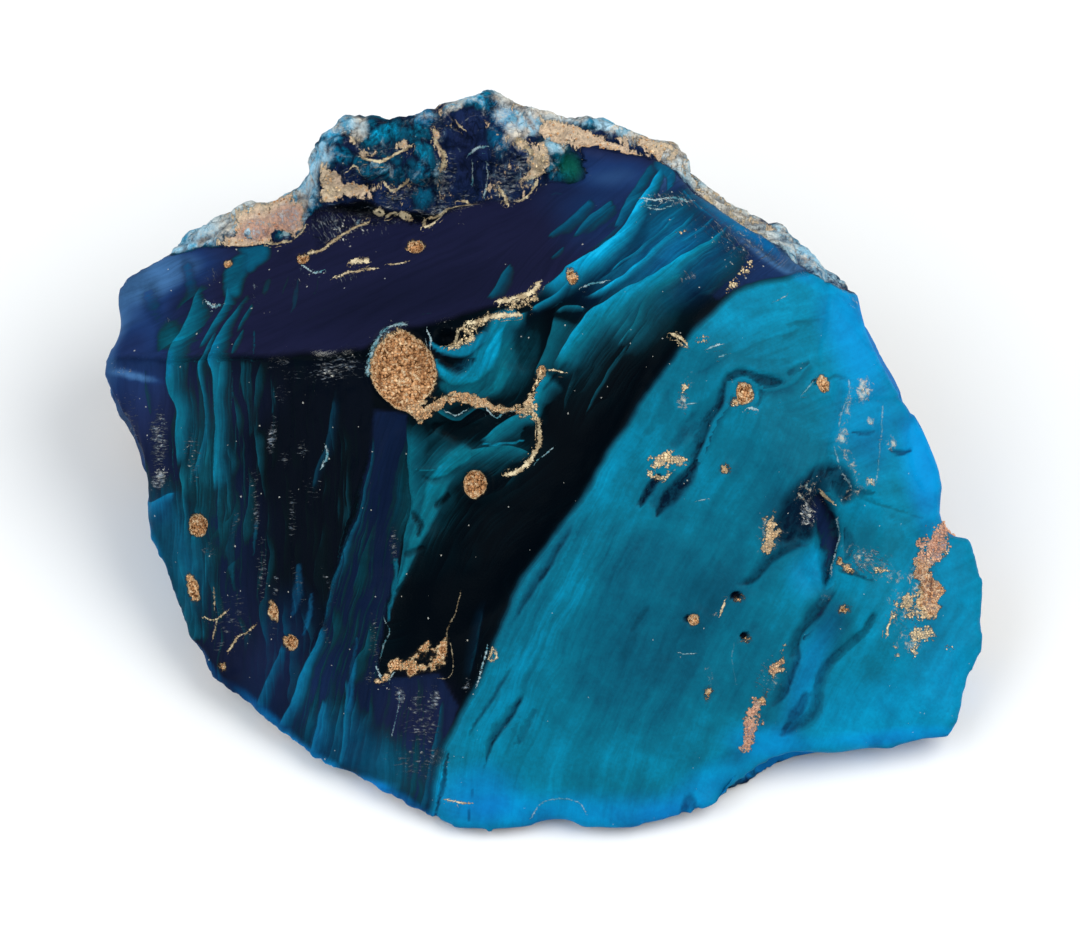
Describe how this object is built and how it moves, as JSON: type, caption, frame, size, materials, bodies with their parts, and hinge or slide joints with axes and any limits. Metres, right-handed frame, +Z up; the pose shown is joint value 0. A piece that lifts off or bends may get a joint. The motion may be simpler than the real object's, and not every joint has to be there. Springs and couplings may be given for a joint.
{
  "type": "rough turquoise",
  "caption": "Rough turquoise-coloured glassy lump with flow bands and a weathered sandy rind, a hand-sized display specimen that lies on its flat underside",
  "frame": {"origin": "under the middle of the lump's bounding box, on the surface it lies on", "axes": "+X along the lump to the right as its show side is seen, +Y to the back, +Z up"},
  "size_m": [0.0788, 0.0626, 0.031],
  "materials": {
    "glassy_stone": "opaque glassy fracture faces, teal and azure over navy and near black, flow banded",
    "rind_sand": null
  },
  "bodies": {
    "root": {"stone": "glassy_stone"}
  },
  "joints": []
}
